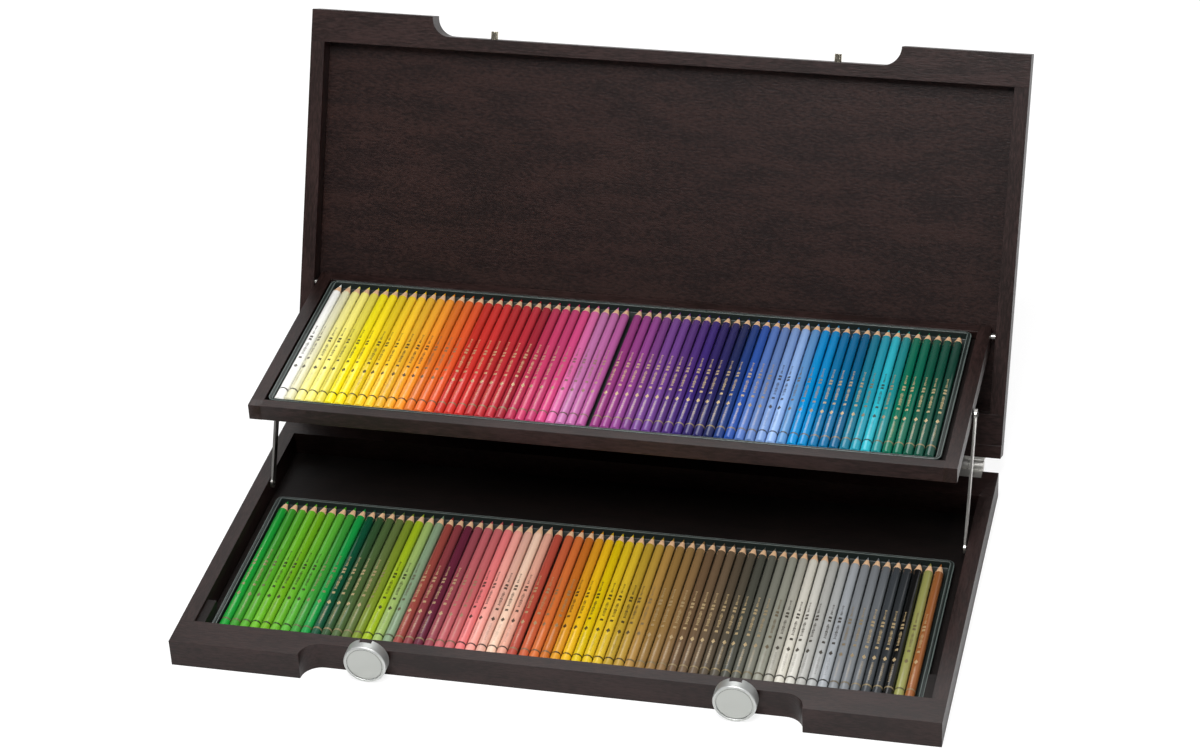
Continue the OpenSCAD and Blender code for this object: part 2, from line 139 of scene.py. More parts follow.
world = bpy.data.worlds.new("white_room")
world.use_nodes = True
bpy.context.scene.world = world
room = world.node_tree
room.nodes.clear()
direction = add(room, "ShaderNodeTexCoord")
split = add(room, "ShaderNodeSeparateXYZ", links={0: direction.outputs["Generated"]})
rising = add(room, "ShaderNodeMath", {"operation": "MULTIPLY_ADD"},
             {1: ROOM_UPWARD, 2: ROOM_START}, {0: split.outputs["Z"]})
behind = add(room, "ShaderNodeMath", {"operation": "MULTIPLY_ADD"}, {1: ROOM_BACKWARD},
             {0: split.outputs["Y"], 2: rising.outputs[0]})
glow = add(room, "ShaderNodeMapRange", {"interpolation_type": "SMOOTHSTEP"},
           {"To Min": ROOM_DIM, "To Max": ROOM_BRIGHT}, {"Value": behind.outputs[0]})
lit_room = add(room, "ShaderNodeBackground", values={"Color": linear("#ffffff")},
               links={"Strength": glow.outputs[0]})
white = add(room, "ShaderNodeBackground", values={"Color": linear("#ffffff"), "Strength": 1.0})
rays = add(room, "ShaderNodeLightPath")
shown = add(room, "ShaderNodeMixShader", links={
    0: rays.outputs["Is Camera Ray"], 1: lit_room.outputs[0], 2: white.outputs[0]})
add(room, "ShaderNodeOutputWorld", links={0: shown.outputs[0]})

LIT_POINT = Vector((0.0, 0.05, 0.05))


def soft_light(name, place, size, watts):
    """A round soft light, its size in metres, turned to the middle of the case."""
    data = bpy.data.lights.new(name, "AREA")
    data.shape = "DISK"
    data.size = size
    data.energy = watts
    lamp = bpy.data.objects.new(name, data)
    lamp.location = place
    facing = LIT_POINT - Vector(place)
    lamp.rotation_euler = facing.to_track_quat("-Z", "Y").to_euler()
    bpy.context.scene.collection.objects.link(lamp)


soft_light("key_light", (0.0, -1.15, 2.25), 1.5, 75)
soft_light("left_light", (-1.5, -0.3, 0.9), 0.35, 3.5)
soft_light("right_light", (2.0, -0.7, 1.2), 0.7, 8)
soft_light("back_light", (-0.2, 1.7, 1.4), 1.3, 13)

TABLE_HALF = 6.0
table_mesh = bpy.data.meshes.new("table")
table_mesh.from_pydata([(-TABLE_HALF, -TABLE_HALF, 0), (TABLE_HALF, -TABLE_HALF, 0),
                        (TABLE_HALF, TABLE_HALF, 0), (-TABLE_HALF, TABLE_HALF, 0)],
                       [], [(0, 1, 2, 3)])
table = bpy.data.objects.new("table", table_mesh)
bpy.context.scene.collection.objects.link(table)
# matt white board: most of what the camera sees is its own white, so the shadow stays light
OWN_WHITE = 0.82
material, tree, output = new_material("white_board")
board = add(tree, "ShaderNodeBsdfDiffuse", values={"Color": linear("#efefef")})
dimmed = add(tree, "ShaderNodeBsdfDiffuse", values={"Color": linear("#898989")})
own_white = add(tree, "ShaderNodeEmission", values={
    "Color": linear("#ffffff"), "Strength": OWN_WHITE})
seen = add(tree, "ShaderNodeAddShader", links={0: dimmed.outputs[0], 1: own_white.outputs[0]})
rays = add(tree, "ShaderNodeLightPath")
pick = add(tree, "ShaderNodeMixShader", links={
    0: rays.outputs["Is Camera Ray"], 1: board.outputs[0], 2: seen.outputs[0]})
tree.links.new(pick.outputs[0], output.inputs[0])
table_mesh.materials.append(material)

# ---- Base frame ------------------------------------------------------------------------
# Four rails of stained hardwood, butted and glued at the corners, with a finger recess
# routed in the front one. Sanded flush and lacquered, so only free edges are eased.
WOOD_NODES = [name for name in frame["nodes"] if any(
    word in name for word in ("rail", "side", "panel", "strip", "floor", "blocks"))]
# an edge is eased where its faces meet at more than SHARP and no neighbour within GLUED of
# it hides it
SHARP = math.radians(30)
GLUED = 0.05 * MM
LONG_EDGE = 5 * MM
WOOD_CREASE = math.radians(50)
FLAT = math.radians(0.5)
SAME_POINT = 0.001 * MM
ON_PLANE = 0.0001 * MM


def cad_bmesh(name):
    """A merged copy of a CAD node's triangles, with flat faces joined up."""
    shape = bmesh.new()
    shape.from_mesh(frame["nodes"][name].data)
    bmesh.ops.remove_doubles(shape, verts=shape.verts, dist=SAME_POINT)
    bmesh.ops.dissolve_limit(shape, angle_limit=FLAT, verts=shape.verts, edges=shape.edges)
    return shape


def neighbours_tree(name):
    """The wooden pieces that share this piece's body, as one tree to measure against."""
    corners, faces = [], []
    body = frame["nodes"][name]["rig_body"]
    for other in WOOD_NODES:
        node = frame["nodes"][other]
        if other != name and node["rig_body"] == body:
            start = len(corners)
            corners += [v.co.copy() for v in node.data.vertices]
            faces += [[start + i for i in p.vertices] for p in node.data.polygons]
    return BVHTree.FromPolygons(corners, faces)


def eased(name, width, material, cuts=(), steps=2, behind_y=-math.inf, alone=False):
    """Replaces a CAD node by a copy whose free sharp edges behind a plane are rounded over.
    A piece that was finished alone, before it was joined, has all its long edges rounded.
    Cuts split the edges that run on past a joint, so that only their free part is rounded."""
    shape = cad_bmesh(name)
    for point, normal in cuts:
        bmesh.ops.bisect_plane(shape, geom=shape.verts[:] + shape.edges[:] + shape.faces[:],
                               plane_co=point, plane_no=normal, dist=ON_PLANE)
    others = neighbours_tree(name) if name in WOOD_NODES and not alone else None
    free = []
    for edge in shape.edges:
        # an inner corner's angle is negative
        if len(edge.link_faces) != 2 or edge.calc_face_angle_signed(0) < SHARP:
            continue
        middle = (edge.verts[0].co + edge.verts[1].co) / 2
        if middle.y < behind_y or (alone and edge.calc_length() < LONG_EDGE):
            continue
        if others and others.find_nearest(middle, GLUED)[0] is not None:
            continue
        free.append(edge)
    bmesh.ops.bevel(shape, geom=free, offset=width, segments=steps, profile=0.5,
                    affect="EDGES", clamp_overlap=True)
    mesh = bpy.data.meshes.new(name + "_finished")
    shape.to_mesh(mesh)
    shape.free()
    mesh.shade_smooth()
    mesh.set_sharp_from_angle(angle=WOOD_CREASE)
    mesh.materials.append(material)
    piece = bpy.data.objects.new(name + "_finished", mesh)
    bpy.context.scene.collection.objects.link(piece)
    # the wide faces shade flat, right up to the rounding
    shading = piece.modifiers.new("flat_faces", "WEIGHTED_NORMAL")
    shading.keep_sharp = True
    shading.weight = 100
    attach(piece, frame["nodes"][name]["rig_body"])
    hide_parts(name)
    return piece


# marks in the wood, in mm along and across the grain: real pores are a fifth of a millimetre
# wide, and are drawn coarse enough to show; the stain dries in slow clouds
PORE = (6.5, 1.3)
LID_PORE = (4.0, 1.4)
CLOUD = (60.0, 14.0)
PORE_SHARE = 0.6
TONE_DARK = 0.43
TONE_LIGHT = 0.59
PER_MM = 1 / MM


def stained_wood(name, grain_turn, dark="#180d0b", light="#2b1c1a", gloss=0.36, pore=PORE):
    """Hardwood stained near black-brown under a satin lacquer: fine pores along the grain,
    slow cloudy tone from the stain, and a faint relief from the open grain."""
    material, tree, output = new_material(name)
    place = add(tree, "ShaderNodeTexCoord")
    turned = add(tree, "ShaderNodeMapping", {"vector_type": "POINT"},
                 {"Rotation": grain_turn}, {0: place.outputs["Object"]})
    stretched = add(tree, "ShaderNodeMapping",
                    values={"Scale": (1 / pore[0], 1 / pore[1], 1 / pore[1])},
                    links={0: turned.outputs[0]})
    pores = add(tree, "ShaderNodeTexNoise",
                values={"Scale": PER_MM, "Detail": 3.0, "Roughness": 0.6},
                links={0: stretched.outputs[0]})
    broad = add(tree, "ShaderNodeMapping",
                values={"Scale": (1 / CLOUD[0], 1 / CLOUD[1], 1 / CLOUD[1])},
                links={0: turned.outputs[0]})
    clouds = add(tree, "ShaderNodeTexNoise",
                 values={"Scale": PER_MM, "Detail": 4.0, "Roughness": 0.55},
                 links={0: broad.outputs[0]})
    mixed = add(tree, "ShaderNodeMath", {"operation": "MULTIPLY"}, {1: PORE_SHARE},
                {0: pores.outputs["Fac"]})
    tone = add(tree, "ShaderNodeMath", {"operation": "MULTIPLY_ADD"}, {1: 1 - PORE_SHARE},
               {0: clouds.outputs["Fac"], 2: mixed.outputs[0]})
    colour = add(tree, "ShaderNodeValToRGB", links={0: tone.outputs[0]})
    colour.color_ramp.elements[0].position = TONE_DARK
    colour.color_ramp.elements[0].color = linear(dark)
    colour.color_ramp.elements[1].position = TONE_LIGHT
    colour.color_ramp.elements[1].color = linear(light)
    shine = add(tree, "ShaderNodeMapRange",
                values={"To Min": gloss - 0.05, "To Max": gloss + 0.08},
                links={"Value": pores.outputs["Fac"]})
    relief = add(tree, "ShaderNodeBump", values={"Strength": 0.4, "Distance": 0.3 * MM},
                 links={"Height": pores.outputs["Fac"]})
    surface = add(tree, "ShaderNodeBsdfPrincipled", values={"IOR": 1.34}, links={
        "Base Color": colour.outputs[0], "Roughness": shine.outputs[0],
        "Normal": relief.outputs[0]})
    tree.links.new(surface.outputs[0], output.inputs[0])
    return material


# the noise runs along X, so the turn brings a piece's own length there
ALONG_X = (0.0, 0.0, 0.0)
ALONG_Y = (0.0, 0.0, math.radians(90))
EASING = 0.45 * MM
base_inner_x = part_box("base_right_side")[0].x
corner_cuts = [(Vector((s * base_inner_x, 0, 0)), Vector((1, 0, 0))) for s in (-1, 1)]
wood_x = stained_wood("stained_wood_along_x", ALONG_X)
wood_y = stained_wood("stained_wood_along_y", ALONG_Y)
for name in ("base_front_rail", "base_rear_rail"):
    eased(name, EASING, wood_x, corner_cuts)
for name in ("base_left_side", "base_right_side"):
    eased(name, EASING, wood_y)

# ---- Base panel and rest blocks --------------------------------------------------------
# A thin stained panel let into a rebate under the frame, duller than the rails and darker,
# partly from its stain and partly as painted shade for the compartment under the tray, and two
# small blocks glued in the front corners, which carry the tray when the case is shut.
PANEL_EASING = 0.2 * MM
BLOCK_EASING = 0.4 * MM
# its near-black colour is partly painted shade, for the compartment under the tray
panel_wood_and_painted_shade = stained_wood("stained_panel", ALONG_X, "#0b0605", "#130b09", 0.56)
eased("base_bottom_panel", PANEL_EASING, panel_wood_and_painted_shade)
eased("tray_rest_blocks", BLOCK_EASING, panel_wood_and_painted_shade)

# ---- Lid -------------------------------------------------------------------------------
# The same stained frame, 20 mm deep, with a plain panel let in from outside. The strip along
# the hinge edge is planed before it is glued on, and the front rail is rounded the most.
LID_OPEN = 116.0
LID_FRONT_EASING = 0.9 * MM
STRIP_EASING = 0.6 * MM
# the open lid leans back, and the grain of its sides with it
lid_grain = stained_wood("stained_wood_along_lid",
                         (math.radians(LID_OPEN - 180.0), 0.0, math.radians(90)))
eased("lid_front_rail", LID_FRONT_EASING, wood_x, corner_cuts, steps=3)
eased("lid_rear_rail", EASING, wood_x, corner_cuts)
eased("lid_hinge_strip", STRIP_EASING, wood_x, alone=True)
for name in ("lid_left_side", "lid_right_side"):
    eased(name, EASING, lid_grain)
lid_panel_wood = stained_wood("stained_lid_panel", ALONG_X, "#150a09", "#271714", 0.33, LID_PORE)
eased("lid_panel", PANEL_EASING, lid_panel_wood)

# ---- Tray frame ------------------------------------------------------------------------
# A light frame of 10 mm wide rails around the upper tin, its floor housed in a groove.
TRAY_EASING = 0.35 * MM
tray_front_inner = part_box("tray_front_rail")[1].y
tray_rear_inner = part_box("tray_rear_rail")[0].y
tray_cuts = [(Vector((0, y, 0)), Vector((0, 1, 0))) for y in (tray_front_inner, tray_rear_inner)]
for name in ("tray_front_rail", "tray_rear_rail"):
    eased(name, TRAY_EASING, wood_x)
for name in ("tray_left_side", "tray_right_side"):
    eased(name, TRAY_EASING, wood_y, tray_cuts)
eased("tray_floor", PANEL_EASING, panel_wood_and_painted_shade)

# ---- Hinges, links, pins and screws ----------------------------------------------------
# Nickel-plated steel: pressed leaves with rolled knuckles, flat link bars with punched eyes,
# and turned shouldered pins. The plating is satin, with fine lines from the drawn metal.
SHEET_EASING = 0.2 * MM
PIN_EASING = 0.25 * MM
# length and spacing of the drawn lines, in mm
DRAWN_LINE = (12.0, 0.3)


def nickel(name, hexa, roughness):
    """Nickel plate over drawn metal, whose lines give its gloss a fine streak."""
    material, tree, output = new_material(name)
    place = add(tree, "ShaderNodeTexCoord")
    lines = add(tree, "ShaderNodeMapping",
                values={"Scale": (1 / DRAWN_LINE[0], 1 / DRAWN_LINE[1], 1 / DRAWN_LINE[1])},
                links={0: place.outputs["Object"]})
    drawn = add(tree, "ShaderNodeTexNoise", values={"Scale": PER_MM, "Detail": 2.0},
                links={0: lines.outputs[0]})
    gloss = add(tree, "ShaderNodeMapRange",
                values={"To Min": roughness - 0.06, "To Max": roughness + 0.08},
                links={"Value": drawn.outputs["Fac"]})
    surface = add(tree, "ShaderNodeBsdfPrincipled", values={
        "Base Color": linear(hexa), "Metallic": 1.0}, links={"Roughness": gloss.outputs[0]})
    tree.links.new(surface.outputs[0], output.inputs[0])
    return material


# the leaves are tumbled matt, the links' pins are a dark grey nickel, and the catch pins are
# polished
plated = nickel("satin_nickel", "#cfcdc8", 0.3)
tumbled = nickel("tumbled_nickel", "#dddbd6", 0.5)
dull = nickel("dull_nickel", "#4c4a46", 0.5)
polished = nickel("polished_nickel", "#cdc5b2", 0.16)
for name in ("link_left", "link_right"):
    eased(name, SHEET_EASING, plated)
for name in ("hinge_base_leaves", "hinge_lid_leaves"):
    eased(name, SHEET_EASING, tumbled)
for name in ("link_foot_pins", "link_top_pins"):
    eased(name, PIN_EASING, dull)
eased("tray_pivot_collars", PIN_EASING, plated)
eased("lid_catch_pins", PIN_EASING, polished)
# the small fittings that hardly show keep their CAD shape
for name in ("hinge_pins", "tray_pivot_pins", "hinge_base_screws", "hinge_lid_screws",
             "knob_left_spindle", "knob_right_spindle", "knob_left_washer",
             "knob_right_washer", "knob_left_nut", "knob_right_nut"):
    frame["nodes"][name].data.materials.clear()
    frame["nodes"][name].data.materials.append(plated)

# ---- Locking knobs ---------------------------------------------------------------------
# Turned aluminium, clear anodised: a flat face sunk inside a narrow rounded rim, and a ring
# groove behind that the lid's catch pin drops into through a notch.
KNOB_EASING = 0.25 * MM
# the rim's front is rounded already, this far back
KNOB_ROUNDED = 2 * MM
TURNING_MARK = 0.35 * MM
# the fine groove between the face and the rim, painted dark as shade, from its inner to its
# outer radius
GROOVE_R = (13.35 * MM, 14.05 * MM)
TO_THE_FRONT = -0.99
KNOB_Z = (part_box("knob_left")[0].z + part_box("knob_left")[1].z) / 2
KNOB_X = (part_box("knob_right")[0].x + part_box("knob_right")[1].x) / 2
KNOB_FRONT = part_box("knob_left")[0].y


def turned(name, hexa, low_gloss, high_gloss):
    """Aluminium with turning marks: rings round the axis that show in its gloss and relief."""
    material, tree, output = new_material(name)
    place = add(tree, "ShaderNodeTexCoord")
    split = add(tree, "ShaderNodeSeparateXYZ", links={0: place.outputs["Object"]})
    sideways = add(tree, "ShaderNodeMath", {"operation": "ABSOLUTE"},
                   links={0: split.outputs["X"]})
    across = add(tree, "ShaderNodeMath", {"operation": "SUBTRACT"}, {1: KNOB_X},
                 {0: sideways.outputs[0]})
    rise = add(tree, "ShaderNodeMath", {"operation": "SUBTRACT"}, {1: KNOB_Z},
               {0: split.outputs["Z"]})
    flat = add(tree, "ShaderNodeCombineXYZ", links={0: across.outputs[0], 1: rise.outputs[0]})
    radius = add(tree, "ShaderNodeVectorMath", {"operation": "LENGTH"},
                 links={0: flat.outputs[0]})
    # the marks follow each other both across the face and along the barrel
    step = add(tree, "ShaderNodeMath", {"operation": "ADD"}, links={
        0: radius.outputs["Value"], 1: split.outputs["Y"]})
    rings = add(tree, "ShaderNodeTexNoise", {"noise_dimensions": "1D"},
                {"Scale": 1 / TURNING_MARK, "Detail": 1.0}, {"W": step.outputs[0]})
    gloss = add(tree, "ShaderNodeMapRange", values={"To Min": low_gloss, "To Max": high_gloss},
                links={"Value": rings.outputs["Fac"]})
    relief = add(tree, "ShaderNodeBump", values={"Strength": 0.08, "Distance": 0.1 * MM},
                 links={"Height": rings.outputs["Fac"]})
    surface = add(tree, "ShaderNodeBsdfPrincipled", values={
        "Base Color": linear(hexa), "Metallic": 1.0},
        links={"Roughness": gloss.outputs[0], "Normal": relief.outputs[0]})
    tree.links.new(surface.outputs[0], output.inputs[0])
    return material


knob_barrel = turned("turned_aluminium", "#c8cac8", 0.44, 0.58)
knob_face = turned("faced_aluminium", "#b0b2ae", 0.34, 0.5)
# painted shade: the fine groove is coloured dark where the rim shades the sunk face
painted_shade_groove_metal = turned("groove_aluminium", "#5c5d5b", 0.5, 0.6)
for name in ("knob_left", "knob_right"):
    piece = eased(name, KNOB_EASING, knob_barrel,
                  behind_y=KNOB_FRONT + KNOB_ROUNDED)
    piece.data.materials.append(knob_face)
    piece.data.materials.append(painted_shade_groove_metal)
    middle_x = (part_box(name)[0].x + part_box(name)[1].x) / 2
    # the face is the piece's second metal, and the fine groove its third, painted dark as shade
    for face in piece.data.polygons:
        from_axis = math.hypot(face.center.x - middle_x, face.center.z - KNOB_Z)
        from_front = face.center.y - KNOB_FRONT
        if face.normal.y < TO_THE_FRONT:
            face.material_index = 1
        if GROOVE_R[0] < from_axis < GROOVE_R[1] and from_front < KNOB_ROUNDED:
            face.material_index = 2

# ---- Pencil tins -----------------------------------------------------------------------
# Pressed tinplate lacquered a green-black, with a broad rolled rim and round corners. They
# lie loose on the base panel and on the tray's floor.
TIN_BEND_STEPS = 8
TIN_CREASE = math.radians(55)
# in mm: width of the rim at the left and right, and at the front and rear, and radius of its
# corners at the outer edge and at the inner wall
RIM_SIDE = 4.2
RIM_END = 2.6
CORNER_R = (6.0, 1.2)
# (share of the way in from the outer edge to the inner wall, height above the underside in
# mm), from the inner floor over the rolled rim, which is dished between two ridges, to the
# outer floor
TIN_SECTION = [(1.2, 0.6), (1.05, 0.75), (1.0, 1.2), (1.0, 5.9), (0.95, 6.4), (0.86, 6.68),
               (0.76, 6.62), (0.68, 6.36), (0.34, 6.36), (0.26, 6.62), (0.16, 6.68),
               (0.05, 6.4), (0.0, 5.9), (0.0, 5.1), (0.06, 4.75), (0.86, 4.7), (0.86, 0.9),
               (0.92, 0.3), (1.1, 0.0)]


def tin_ring(lowest, highest, share, height):
    """One loop of the tin's surface: a rectangle with round corners, anticlockwise."""
    loop = []
    r = CORNER_R[0] + (CORNER_R[1] - CORNER_R[0]) * min(share, 1.0)
    left, right = lowest.x / MM + share * RIM_SIDE + r, highest.x / MM - share * RIM_SIDE - r
    front, back = lowest.y / MM + share * RIM_END + r, highest.y / MM - share * RIM_END - r
    for cx, cy, start in ((right, front, -90), (right, back, 0), (left, back, 90),
                          (left, front, 180)):
        for i in range(TIN_BEND_STEPS + 1):
            angle = math.radians(start + 90 * i / TIN_BEND_STEPS)
            loop.append(Vector((cx + r * math.cos(angle), cy + r * math.sin(angle),
                                lowest.z / MM + height)) * MM)
    return loop


# bands of the section, counted from the inner floor, where the ridges' lacquer is lighter: a
# painted highlight along each ridge
PAINTED_HIGHLIGHT_BANDS = (4, 5, 9, 10)


def tin(node, body, lacquered, rubbed):
    """One pressed tin, as a closed shell with floors inside and outside."""
    lowest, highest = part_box(node)
    shape = bmesh.new()
    rings = [[shape.verts.new(p) for p in tin_ring(lowest, highest, share, height)]
             for share, height in TIN_SECTION]
    count = len(rings[0])
    for number, (inner, outer) in enumerate(zip(rings, rings[1:])):
        for i in range(count):
            j = (i + 1) % count
            face = shape.faces.new((inner[i], inner[j], outer[j], outer[i]))
            # the ridges' bands take the painted highlight
            face.material_index = int(number in PAINTED_HIGHLIGHT_BANDS)
    shape.faces.new(rings[0])
    shape.faces.new(rings[-1])
    bmesh.ops.recalc_face_normals(shape, faces=shape.faces)
    mesh = bpy.data.meshes.new(node + "_pressed")
    shape.to_mesh(mesh)
    shape.free()
    mesh.shade_smooth()
    mesh.set_sharp_from_angle(angle=TIN_CREASE)
    mesh.materials.append(lacquered)
    mesh.materials.append(rubbed)
    piece = bpy.data.objects.new(node + "_pressed", mesh)
    bpy.context.scene.collection.objects.link(piece)
    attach(piece, body)
    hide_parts(node)


# the lacquer's orange-peel, and the patches where handling has lightened it
PEEL = 1.5 * MM
WORN_PATCH = 35 * MM


def stoved_lacquer(name, dark, light, gloss):
    """Stoved lacquer: an even semi-gloss film with a faint orange-peel."""
    material, tree, output = new_material(name)
    place = add(tree, "ShaderNodeTexCoord")
    peel = add(tree, "ShaderNodeTexNoise", values={"Scale": 1 / PEEL, "Detail": 2.0},
               links={0: place.outputs["Object"]})
    worn = add(tree, "ShaderNodeTexNoise", values={"Scale": 1 / WORN_PATCH, "Detail": 3.0},
               links={0: place.outputs["Object"]})
    film = add(tree, "ShaderNodeMixRGB", values={1: linear(dark), 2: linear(light)},
               links={0: worn.outputs["Fac"]})
    relief = add(tree, "ShaderNodeBump", values={"Strength": 0.05, "Distance": 0.1 * MM},
                 links={"Height": peel.outputs["Fac"]})
    surface = add(tree, "ShaderNodeBsdfPrincipled", values={"Roughness": gloss, "IOR": 1.5},
                  links={"Base Color": film.outputs[0], "Normal": relief.outputs[0]})
    tree.links.new(surface.outputs[0], output.inputs[0])
    return material


tin_lacquer = stoved_lacquer("lacquered_tinplate", "#131a18", "#1f2725", 0.34)
# the ridges' lighter lacquer is a painted highlight
painted_highlight_lacquer = stoved_lacquer("rubbed_tinplate", "#4c5552", "#5f6865", 0.3)
tin("lower_tin", "base", tin_lacquer, painted_highlight_lacquer)
tin("upper_tin", "tray", tin_lacquer, painted_highlight_lacquer)

# ---- Pencils ---------------------------------------------------------------------------
# Round cedar pencils in coloured lacquer, each with a thin gilt ring near its blunt end and
# plain gilt marks along the barrel. They lie side by side, points to the back.
# Sizes in mm: length and radius of a pencil, length of its cut point and of the bare core.
PENCIL_L = 175.0
PENCIL_R = 3.8
POINT_L = 14.5
CORE_TIP_L = 5.5
SIDES = 20
PENCIL_CREASE = math.radians(40)
# the lacquers run in families, left to right: each family's first colour, and the number of
# pencils over which it shades towards the first colour of the next
LOWER_FAMILIES = (
    ("#188c30", 4), ("#70b020", 4), ("#189040", 1), ("#104830", 3), ("#586838", 2),
    ("#98b020", 2), ("#88a080", 1), ("#90443c", 2), ("#68283c", 4), ("#e07878", 3),
    ("#ecc8b0", 2), ("#b85040", 3), ("#c87028", 3), ("#e0c010", 5), ("#a07c40", 4),
    ("#705840", 5), ("#484840", 3), ("#88887c", 2), ("#d0ccc0", 4), ("#989ca0", 4),
    ("#404448", 2), ("#141414", 1), ("#989858", 1), ("#905830", 1))
UPPER_FAMILIES = (
    ("#f0f0ec", 2), ("#f0e890", 3), ("#f0e018", 5), ("#f0b830", 3), ("#e47828", 3),
    ("#cc3428", 6), ("#a82838", 4), ("#d04880", 2), ("#c878b0", 3), ("#983c80", 4),
    ("#704088", 4), ("#38246c", 3), ("#1c2450", 2), ("#2850a0", 4), ("#88a8d8", 2),
    ("#0088c8", 4), ("#005880", 3), ("#28a8b8", 2), ("#006850", 4), ("#103c30", 1))
# neighbours in a family differ in depth
DEPTHS = (1.0, 0.8, 0.92)


def shaded(families):
    """A row's lacquers as linear colours, one for each pencil."""
    colours = []
    firsts = [linear(hexa) for hexa, count in families]
    for (hexa, count), first, following in zip(families, firsts, firsts[1:] + firsts[-1:]):
        for i in range(count):
            depth = DEPTHS[len(colours) % len(DEPTHS)]
            red, green, blue = [(a + (b - a) * i / count) * depth
                                for a, b in zip(first[:3], following[:3])]
            colours.append((red, green, blue, 1.0))
    return colours


def lathe(name, outline):
    """A turned shape along +Y from (distance, radius) points, closed at both ends, with a UV
    map whose U goes once round and whose V is the distance as a share of the length."""
    shape = bmesh.new()
    uv = shape.loops.layers.uv.new("around_along")
    turns = [2 * math.pi * i / SIDES for i in range(SIDES)]
    rings = [[shape.verts.new(Vector((r * math.sin(turn), along, r * math.cos(turn))) * MM)
              for turn in turns] for along, r in outline]
    places = [along / PENCIL_L for along, r in outline]
    for v0, v1, first, second in zip(places, places[1:], rings, rings[1:]):
        for i in range(SIDES):
            j = (i + 1) % SIDES
            face = shape.faces.new((first[i], first[j], second[j], second[i]))
            for loop, u, v in zip(face.loops, (i, i + 1, i + 1, i), (v0, v0, v1, v1)):
                loop[uv].uv = ((u / SIDES + 0.5) % 1.0, v)
            # on the face that U's seam crosses, the near side is carried on past 1
            if any(loop[uv].uv.x > 0.75 for loop in face.loops):
                for loop in face.loops:
                    if loop[uv].uv.x < 0.25:
                        loop[uv].uv.x += 1.0
    for ring, v in ((rings[0], places[0]), (rings[-1], places[-1])):
        face = shape.faces.new(ring)
        for loop in face.loops:
            loop[uv].uv = (0.0, v)
    bmesh.ops.recalc_face_normals(shape, faces=shape.faces)
    mesh = bpy.data.meshes.new(name)
    shape.to_mesh(mesh)
    shape.free()
    mesh.shade_smooth()
    mesh.set_sharp_from_angle(angle=PENCIL_CREASE)
    return bpy.data.objects.new(name, mesh)


SHOULDER = PENCIL_L - POINT_L
CORE_START = PENCIL_L - CORE_TIP_L
CORE_R = PENCIL_R * CORE_TIP_L / POINT_L
# the barrel's dipped end is rounded, the cone starts inside it, and the core's tip is blunt
barrel = lathe("one_barrel", [
    (0.0, PENCIL_R - 0.9), (0.12, PENCIL_R - 0.45), (0.45, PENCIL_R - 0.12), (0.9, PENCIL_R),
    (SHOULDER - 0.3, PENCIL_R), (SHOULDER, PENCIL_R - 0.1)])
cone = lathe("one_cone", [
    (SHOULDER - 0.2, PENCIL_R - 0.4), (SHOULDER, PENCIL_R - 0.12), (CORE_START, CORE_R)])
core = lathe("one_core", [
    (CORE_START - 0.1, CORE_R), (CORE_START + 0.1, CORE_R),
    (PENCIL_L - 0.7, 0.24), (PENCIL_L - 0.35, 0.1)])

# the tree that lays one shape on every point of a row, turned and slipped a little at random
SLIP_SEED_STEP = 7.0
rows = bpy.data.node_groups.new("pencil_row", "GeometryNodeTree")
for label, kind in (("Row", "NodeSocketGeometry"), ("Shape", "NodeSocketObject"),
                    ("Finish", "NodeSocketMaterial"), ("Spin", "NodeSocketFloat"),
                    ("Slip", "NodeSocketFloat"), ("Seed", "NodeSocketInt")):
    rows.interface.new_socket(label, in_out="INPUT", socket_type=kind)
rows.interface.new_socket("Pencils", in_out="OUTPUT", socket_type="NodeSocketGeometry")
entry = add(rows, "NodeGroupInput")
less_spin = add(rows, "ShaderNodeMath", {"operation": "MULTIPLY"}, {1: -1.0},
                {0: entry.outputs["Spin"]})
less_slip = add(rows, "ShaderNodeMath", {"operation": "MULTIPLY"}, {1: -1.0},
                {0: entry.outputs["Slip"]})
later = add(rows, "ShaderNodeMath", {"operation": "ADD"}, {1: SLIP_SEED_STEP},
            {0: entry.outputs["Seed"]})
spin = add(rows, "FunctionNodeRandomValue", {"data_type": "FLOAT"}, links={
    2: less_spin.outputs[0], 3: entry.outputs["Spin"], "Seed": entry.outputs["Seed"]})
slip = add(rows, "FunctionNodeRandomValue", {"data_type": "FLOAT"}, links={
    2: less_slip.outputs[0], 3: entry.outputs["Slip"], "Seed": later.outputs[0]})
turn = add(rows, "ShaderNodeCombineXYZ", links={1: spin.outputs[1]})
shift = add(rows, "ShaderNodeCombineXYZ", links={1: slip.outputs[1]})
slipped = add(rows, "GeometryNodeSetPosition", links={
    "Geometry": entry.outputs["Row"], "Offset": shift.outputs[0]})
shape_in = add(rows, "GeometryNodeObjectInfo", {"transform_space": "ORIGINAL"},
               {"As Instance": True}, {"Object": entry.outputs["Shape"]})
laid = add(rows, "GeometryNodeInstanceOnPoints", links={
    "Points": slipped.outputs[0], "Instance": shape_in.outputs["Geometry"],
    "Rotation": turn.outputs[0]})
real = add(rows, "GeometryNodeRealizeInstances", links={0: laid.outputs[0]})
finished = add(rows, "GeometryNodeSetMaterial", links={
    "Geometry": real.outputs[0], "Material": entry.outputs["Finish"]})
add(rows, "NodeGroupOutput", links={0: finished.outputs[0]})
socket_id = {item.name: item.identifier for item in rows.interface.items_tree}
SPIN = math.radians(16)
SLIP = 0.2 * MM


